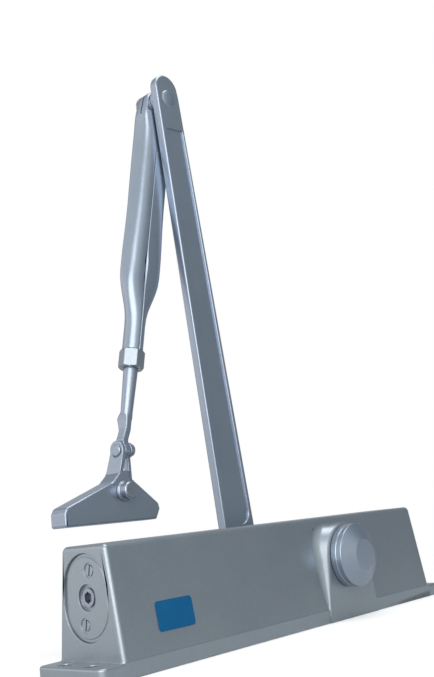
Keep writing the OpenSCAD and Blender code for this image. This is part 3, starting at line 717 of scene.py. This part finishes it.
def seam_cutter(f):
    """Seam down the front of the tube, its lips chamfered, opened to a lens where the tube closes to its neck."""
    bm = bmesh.new()
    rings = []
    for at in (*SEAM_AT, f.end / MM + 1):
        lens = ease(112, 121, at) * (1 - ease(125, 142, at))
        open_by, lip = 0.12 + 0.40 * lens, 0.45 + 0.55 * lens   # half the gap, and the chamfer's width
        face = -blend(f.half_depth / MM, f.neck / MM, ease(*DEEPENS, at))
        rim, wide = face + lip, open_by + lip + 3
        outline = [(-wide, face - 3), (wide, face - 3), (open_by, rim),
                   (open_by, -1.0), (-open_by, -1.0), (-open_by, rim)]
        rings.append([bm.verts.new(Vector((x, y, -at)) * MM) for x, y in outline])
    return skinned(bm, rings)


def carved(body, cutters, place):
    """body less its cutters, moved to its place."""
    blank = object_of("blank", body)
    tools = [object_of("cutter", bm) for bm in cutters]
    for tool in tools:
        cut = blank.modifiers.new("cut", "BOOLEAN")
        cut.operation, cut.solver, cut.object = "DIFFERENCE", "EXACT", tool
    mesh = bpy.data.meshes.new_from_object(blank.evaluated_get(bpy.context.evaluated_depsgraph_get()))
    bm = bmesh.new()
    bm.from_mesh(mesh)
    bmesh.ops.remove_doubles(bm, verts=bm.verts, dist=2e-6)
    bm.transform(place)
    for obj in (blank, *tools):
        data = obj.data
        bpy.data.objects.remove(obj)
        bpy.data.meshes.remove(data)
    bpy.data.meshes.remove(mesh)
    return bm


class CLOSER_OT_forearm(bpy.types.Operator):
    """Builds the rolled forearm, the elbow rivet and its washers"""
    bl_idname = "closer.forearm"
    bl_label = "Forearm"

    def execute(self, context):
        f = context.scene.closer_forearm
        skin = forearm_loft(f, [*SKIN_AT, f.end / MM], 0.0)
        hollow = forearm_loft(f, HOLLOW_AT, f.wall)
        bore_end = -108 * MM                            # clear of the rod at its shortest reach
        past = 20 * MM                                  # well outside the tube
        rod_bore = rod_of((0, 0, -(f.end + 1 * MM)), (0, 0, bore_end), 4.62 * MM, 40)
        rivet_hole = rod_of((0, -past, 0), (0, past, 0), 5.08 * MM, 40)
        washer_seat = block_of((-past, -f.half_depth - 1 * MM, -10.6 * MM), (past, -f.half_depth + 1.1 * MM, 12 * MM))
        eye_slot = block_of((-past, -0.5 * MM, -13 * MM), (past, 0.5 * MM, 23 * MM))
        cutters = [hollow, rod_bore, rivet_hole, seam_cutter(f), washer_seat, eye_slot]
        tube = carved(skin, cutters, forearm_place())
        softened("forearm", "arm_paint", 0.25 * MM, steps=2, sharp=38.0, bm=tube)
        elbow = Vector(JOINTS["elbow_fold"]["pos_m"])
        face, rear = ARM_FACE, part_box("elbow_rivet")[1].y / MM
        dome = [(0, face - 1.0), (1.6, face - 0.97), (3.2, face - 0.86), (4.4, face - 0.68), (5.2, face - 0.44),
                (5.6, face - 0.2), (5.7, face), (5, face)]
        back_head = [(5, rear - 2.2), (7.6, rear - 2.2), (7.6, rear - 1.1), (7.1, rear - 0.5), (6.0, rear - 0.1),
                     (4.5, rear), (0, rear)]
        along_y = Matrix.Translation((elbow.x, 0, elbow.z)) @ Matrix.Rotation(math.radians(-90), 4, "X")
        turned("elbow_rivet", dome + back_head, along_y, "arm_paint")
        softened("elbow_washers", "zinc_plate", 0.2 * MM, steps=2, sharp=30.0, clamp=True)
        return {"FINISHED"}


class CLOSER_OT_rod(bpy.types.Operator):
    """Builds the lock nut and the adjusting rod"""
    bl_idname = "closer.rod"
    bl_label = "Rod and nut"

    def execute(self, context):
        softened("lock_nut", "casting_paint", 0.4 * MM, steps=3, sharp=22.0)
        forged("adjusting_rod", "arm_paint", grain=0.30 * MM, passes=30)
        return {"FINISHED"}


class CLOSER_OT_shoe(bpy.types.Operator):
    """Builds the pressed shoe with its clevis pin, bolt and nut"""
    bl_idname = "closer.shoe"
    bl_label = "Shoe"

    def execute(self, context):
        e = context.scene.closer_edges
        pin = Vector(JOINTS["shoe_tilt"]["pos_m"])
        bolt = pin + Vector((-7.2, 0, -24.4)) * MM
        front = pin.y - 6.5 * MM                        # front of the web
        lip = pin.y + 6.4 * MM                          # the base's far edge is past this
        ears = -13.5 * MM                               # the ears begin this far below the pin
        by_bolt = 5 * MM

        def radius_at(p, edge):
            q = p - pin
            ends = [v.co for v in edge.verts]
            on_front = all(abs(c.y - front) < NEAR for c in ends)
            hole = math.hypot(p.x - bolt.x, p.z - bolt.z) < 4 * MM
            if on_front and edge.is_convex and not hole and q.z < ears:
                return e.bend * min(1.0, 0.3 - (q.z - ears) / (6 * MM))
            if q.z > ears and edge.is_convex:
                return e.sheet
            return e.sheet if all(c.y > lip for c in ends) else 0.0

        bm = cad_mesh("shoe_bracket")
        for side in (-by_bolt, by_bolt):
            sliced(bm, (bolt.x + side, 0, 0), (1, 0, 0))
        for side in (-by_bolt, by_bolt):
            sliced(bm, (0, 0, bolt.z + side), (0, 0, 1))
        softened("shoe_bracket", "arm_paint", e.bend, steps=5, sharp=26.0,
                 radius_at=radius_at, bm=bm)
        softened("clevis_pin", "arm_paint", 0.25 * MM, steps=3, sharp=26.0, clamp=True)
        softened("shoe_bolt", "zinc_plate", 0.4 * MM, steps=3, sharp=26.0, clamp=True)
        softened("shoe_nut", "zinc_plate", 0.2 * MM, steps=2, sharp=26.0, clamp=True)
        return {"FINISHED"}


class CLOSER_OT_stage(bpy.types.Operator):
    """Sets the floor, the surroundings, the lights and the camera"""
    bl_idname = "closer.stage"
    bl_label = "Stage"

    def execute(self, context):
        context.scene.view_settings.view_transform = "Standard"
        st = context.scene.closer_stage
        self.floor(st)
        context.scene.world = self.surroundings(st)
        self.lamp("key", (-0.80, -0.66, 0.45), (0.0, 0.0, 0.14), 1.20, st.key, (1.0, 0.965, 0.95))
        self.lamp("top", (0.1, -0.1, 1.3), (0.0, 0.0, 0.1), 0.9, st.top, (0.97, 0.985, 1.0))
        context.scene.camera = self.camera(st)
        return {"FINISHED"}

    def floor(self, st):
        """A matt floor that keeps the object's shadow near it and is plain white farther off."""
        bm = bmesh.new()
        bmesh.ops.create_grid(bm, x_segments=1, y_segments=1, size=6.0)
        floor = object_of("floor", bm)
        floor.location.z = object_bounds()[0].z - 0.0002
        mat = bpy.data.materials.new("floor")
        mat.use_nodes = True
        s = Sheet(mat.node_tree)
        reach = s.add("ShaderNodeVectorMath", {"operation": "ABSOLUTE"}, {0: s.place()}) - (0.16, 0.03, 1.0)
        away = s.add("ShaderNodeVectorMath", {"operation": "LENGTH"}, {0: reach.most((0.0, 0.0, 0.0))}, out=1)
        seen, metal = (s.add("ShaderNodeLightPath", out=k) for k in (0, 3))
        left, _, _ = s.parts(s.place())
        pale = (0 - left).band(0.12, 0.45) * (1 - 0.35 * (0 - left).band(0.6, 1.6))
        matt = s.add("ShaderNodeBsdfDiffuse", {}, {"Color": tuple(st.floor)})
        none = s.add("ShaderNodeEmission", {}, {"Color": (0, 0, 0), "Strength": 0.0})
        lift = s.add("ShaderNodeEmission", {}, {"Color": (1, 1, 1), "Strength": st.lift})
        lifted = s.add("ShaderNodeMixShader", {}, {0: seen, 1: none, 2: lift})
        near = s.add("ShaderNodeAddShader", {}, {0: matt, 1: lifted})
        plain = s.add("ShaderNodeEmission", {}, {"Color": (1, 1, 1), "Strength": 1.0})
        far_off = seen * away.band(0.04, 0.30) + metal * pale * 0.85
        both = s.add("ShaderNodeMixShader", {}, {0: far_off, 1: near, 2: plain})
        s.add("ShaderNodeOutputMaterial", {}, {0: both})
        floor.data.materials.append(mat)
        floor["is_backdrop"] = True

    def surroundings(self, st):
        """Bright towards the valve end and the near side, dim on the arm side, with two pale panels in the dim."""
        world = bpy.data.worlds.new("surroundings")
        world.use_nodes = True
        w = Sheet(world.node_tree)
        way = w.add("ShaderNodeTexCoord")

        def facing(x, y, z):
            """1 straight towards a direction, -1 straight away."""
            to = Vector((x, y, z)).normalized()
            return w.add("ShaderNodeVectorMath", {"operation": "DOT_PRODUCT"}, {0: way, 1: to}, out=1)

        def tinted(strength, *tint):
            return tuple(strength * c for c in tint)

        glow = facing(-0.78, -0.42, 0.40).band(-0.15, 0.55)
        panel = facing(-0.70, 0.68, 0.20).band(0.72, 0.98)
        behind = facing(0.55, 0.82, 0.12).band(0.60, 0.95)
        dim = w.mix(behind, tinted(st.shade, 0.91, 1.0, 1.09), tinted(st.shade, 1.90, 1.95, 2.10))
        room = w.mix(glow, dim, tinted(st.sky, 0.96, 0.99, 0.98))
        room = w.mix(panel, room, tinted(st.sky, 1.60, 1.52, 1.52))
        lit = w.add("ShaderNodeBackground", {}, {"Color": room, "Strength": 1.0})
        white = w.add("ShaderNodeBackground", {}, {"Color": (1, 1, 1), "Strength": 1.0})
        seen, metal, glass = (w.add("ShaderNodeLightPath", out=k) for k in (0, 3, 6))
        as_white = (seen + glass + metal * glow * 0.3).least(1.0)
        both = w.add("ShaderNodeMixShader", {}, {0: as_white, 1: lit, 2: white})
        w.add("ShaderNodeOutputWorld", {}, {0: both})
        return world

    def lamp(self, name, at, to, size, power, tint):
        """A round soft light at a place, aimed at another."""
        data = bpy.data.lights.new(name, "AREA")
        data.shape, data.size, data.energy, data.color = "DISK", size, power, tint
        obj = linked(name, data)
        obj.location = at
        obj.rotation_mode = "QUATERNION"
        obj.rotation_quaternion = (Vector(to) - Vector(at)).to_track_quat("-Z", "Y")

    def camera(self, st):
        """The camera, turned so that right, down and ahead are these directions of the model."""
        right, down = Vector((0.6674, -0.7368, -0.1077)), Vector((0.0449, 0.1842, -0.9819))
        ahead = Vector((0.7433, 0.6505, 0.1561))
        cam = bpy.data.cameras.new("camera")
        cam.lens, cam.sensor_width = st.lens, 36.0
        cam.shift_x, cam.shift_y = -0.0326, 0.0661
        cam.clip_start, cam.clip_end = 0.01, 20.0
        obj = linked("camera", cam)
        turn = Matrix((right, -down, -ahead)).transposed().to_4x4()
        obj.matrix_world = Matrix.Translation(Vector(st.camera_at)) @ turn
        return obj


class CLOSER_PT_panel(bpy.types.Panel):
    """Lists the settings and the steps"""
    bl_label = "Door closer"
    bl_idname = "CLOSER_PT_panel"
    bl_space_type = "VIEW_3D"
    bl_region_type = "UI"
    bl_category = "Door closer"

    def draw(self, context):
        for group in (getattr(context.scene, name) for name in GROUPS):
            box = self.layout.box()
            for key in group.bl_rna.properties.keys():
                if key not in ("rna_type", "name"):
                    box.prop(group, key)
        for step in STEPS:
            self.layout.operator(step.bl_idname)


STEPS = (CLOSER_OT_housing, CLOSER_OT_pinion_cap, CLOSER_OT_mechanism, CLOSER_OT_main_arm,
         CLOSER_OT_forearm, CLOSER_OT_rod, CLOSER_OT_shoe, CLOSER_OT_stage)
GROUPS = {"closer_finishes": CloserFinishes, "closer_edges": CloserEdges, "closer_forearm": CloserForearm,
          "closer_stage": CloserStage}


def register():
    """Adds the settings, the steps and the panel."""
    for cls in (*GROUPS.values(), *STEPS, CLOSER_PT_panel):
        bpy.utils.register_class(cls)
    for name, cls in GROUPS.items():
        setattr(bpy.types.Scene, name, PointerProperty(type=cls))


def unregister():
    """Takes them away again."""
    for name in GROUPS:
        delattr(bpy.types.Scene, name)
    for cls in reversed((*GROUPS.values(), *STEPS, CLOSER_PT_panel)):
        bpy.utils.unregister_class(cls)


def main():
    """Runs every step in order."""
    register()
    for step in STEPS:
        group, call = step.bl_idname.split(".")
        getattr(getattr(bpy.ops, group), call)()


if __name__ == "__main__":
    main()
